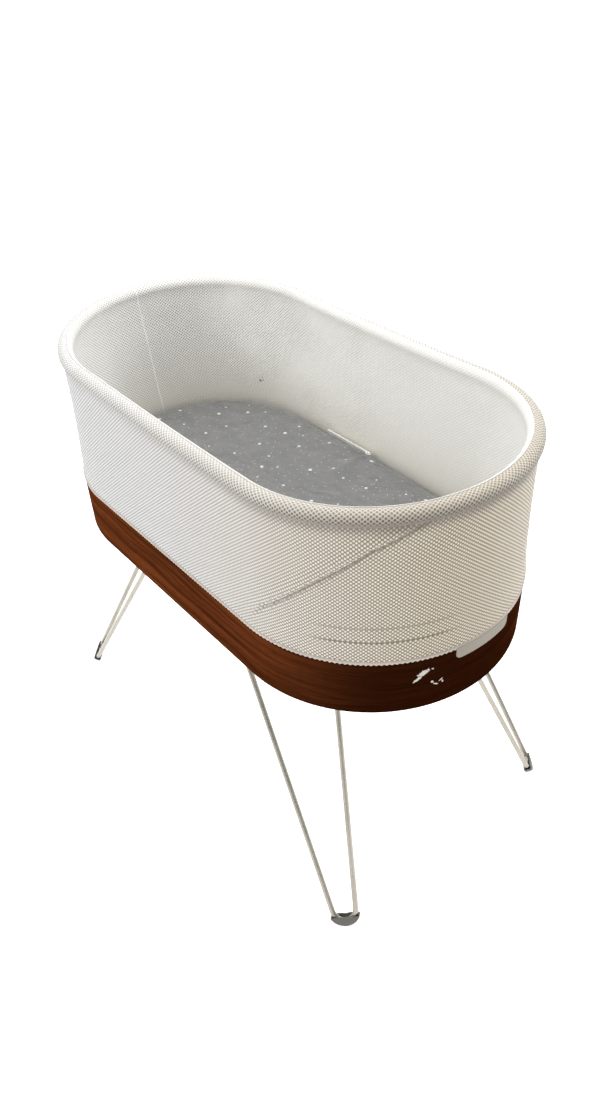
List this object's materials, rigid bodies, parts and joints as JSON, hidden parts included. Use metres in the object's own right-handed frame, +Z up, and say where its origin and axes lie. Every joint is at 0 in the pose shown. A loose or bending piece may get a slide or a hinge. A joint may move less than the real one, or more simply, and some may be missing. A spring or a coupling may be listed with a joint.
{
  "type": "bassinet on stand",
  "caption": "Oval baby bassinet with mesh walls over a wood veneer band, on hairpin legs, with a mattress platform that swivels on a central bearing.",
  "frame": {"origin": "centre of the footprint on the floor, below the middle of the body", "axes": "+X towards the foot end, which has the label tab; +Y towards the right-hand side seen from the foot end; +Z up"},
  "size_m": [0.9104, 0.5264, 0.7979],
  "materials": {
    "walnut_veneer": "satin oiled walnut veneer",
    "white_plastic": "moulded ABS, fine texture",
    "zinc_steel": "zinc plated steel",
    "chrome_rod": "bright plated steel rod",
    "bearing_steel": "ground steel",
    "cast_aluminium": "cast and tumbled",
    "grey_rubber": "moulded elastomer",
    "belt_rubber": "moulded rubber belt",
    "dark_plastic": "moulded ABS, fine texture",
    "spacer_mesh": "knitted polyester spacer mesh",
    "liner_mesh": "knitted polyester mesh",
    "rim_foam": "closed-cell foam sleeve",
    "tab_silicone": "off-white moulded tab",
    "jersey_sheet": "heather grey cotton jersey with white flecks",
    "birch_plywood": "sanded plywood",
    "circuit_board": "solder-masked board",
    "light_diffuser": "translucent diffuser"
  },
  "bodies": {
    "frame": {"band_veneer": "walnut_veneer", "base_pan": "white_plastic", "base_screw_1": "zinc_steel", "base_screw_2": "zinc_steel", "base_screw_3": "zinc_steel", "base_screw_4": "zinc_steel", "base_screw_5": "zinc_steel", "base_screw_6": "zinc_steel", "base_screw_7": "zinc_steel", "base_screw_8": "zinc_steel", "bearing_outer": "bearing_steel", "chassis_plate": "zinc_steel", "control_board": "circuit_board", "crank_axle": "bearing_steel", "drive_belt": "belt_rubber", "drive_motor": "dark_plastic", "foot_cap_foot_left": "grey_rubber", "foot_cap_foot_right": "grey_rubber", "foot_cap_head_left": "grey_rubber", "foot_cap_head_right": "grey_rubber", "hem_ring": "white_plastic", "inner_liner": "liner_mesh", "label_tab": "tab_silicone", "leg_foot_left": "chrome_rod", "leg_foot_right": "chrome_rod", "leg_head_left": "chrome_rod", "leg_head_right": "chrome_rod", "leg_socket_foot_left": "cast_aluminium", "leg_socket_foot_right": "cast_aluminium", "leg_socket_head_left": "cast_aluminium", "leg_socket_head_right": "cast_aluminium", "light_ring": "light_diffuser", "microphone_left": "dark_plastic", "microphone_right": "dark_plastic", "motor_bracket": "zinc_steel", "outer_mesh": "spacer_mesh", "power_inlet": "dark_plastic", "rim_hoop": "zinc_steel", "rim_sleeve": "rim_foam", "speaker": "dark_plastic", "wall_post_foot_left": "zinc_steel", "wall_post_foot_right": "zinc_steel", "wall_post_head_left": "zinc_steel", "wall_post_head_right": "zinc_steel", "wall_post_middle_left": "zinc_steel", "wall_post_middle_right": "zinc_steel"},
    "platform": {"platform_deck": "birch_plywood", "platform_hub": "cast_aluminium", "mattress": "jersey_sheet", "swaddle_clip_right": "white_plastic", "swaddle_clip_left": "white_plastic", "bearing_inner": "bearing_steel", "yoke_block": "white_plastic"},
    "crank": {"crank_pulley": "cast_aluminium"},
    "motor_rotor": {"motor_pulley": "cast_aluminium"},
    "button": {"control_button": "white_plastic"},
    "latch_foot_right": {"leg_latch_foot_right": "dark_plastic"},
    "latch_foot_left": {"leg_latch_foot_left": "dark_plastic"},
    "latch_head_right": {"leg_latch_head_right": "dark_plastic"},
    "latch_head_left": {"leg_latch_head_left": "dark_plastic"}
  },
  "joints": [
    {"name": "platform_swivel", "type": "hinge", "parent": "frame", "child": "platform", "pos_m": [0, 0, 0.46], "axis": [0, 0, 1], "range_deg": [-2.5, 2.5]},
    {"name": "crank_spin", "type": "hinge", "parent": "frame", "child": "crank", "pos_m": [-0.19, 0, 0.46], "axis": [0, 0, 1], "range_deg": [-90, 90]},
    {"name": "motor_spin", "type": "hinge", "parent": "frame", "child": "motor_rotor", "pos_m": [-0.11, -0.06, 0.46], "axis": [0, 0, 1], "range_deg": [-288, 288]},
    {"name": "button_press", "type": "slide", "parent": "frame", "child": "button", "axis": [1, 0, 0], "range_m": [0, 0.0015], "stiffness_N_per_m": 900, "springref_m": -0.0005},
    {"name": "latch_foot_right_release", "type": "slide", "parent": "frame", "child": "latch_foot_right", "axis": [-0.6582, -0.7529, 0], "range_m": [0, 0.007], "stiffness_N_per_m": 600, "springref_m": -0.002},
    {"name": "latch_foot_left_release", "type": "slide", "parent": "frame", "child": "latch_foot_left", "axis": [-0.6582, 0.7529, 0], "range_m": [0, 0.007], "stiffness_N_per_m": 600, "springref_m": -0.002},
    {"name": "latch_head_right_release", "type": "slide", "parent": "frame", "child": "latch_head_right", "axis": [0.6582, -0.7529, 0], "range_m": [0, 0.007], "stiffness_N_per_m": 600, "springref_m": -0.002},
    {"name": "latch_head_left_release", "type": "slide", "parent": "frame", "child": "latch_head_left", "axis": [0.6582, 0.7529, 0], "range_m": [0, 0.007], "stiffness_N_per_m": 600, "springref_m": -0.002}
  ],
  "couplings": [
    {"joint": "crank_spin", "follows": "platform_swivel", "ratio": -36},
    {"joint": "motor_spin", "follows": "platform_swivel", "ratio": -115.2}
  ]
}
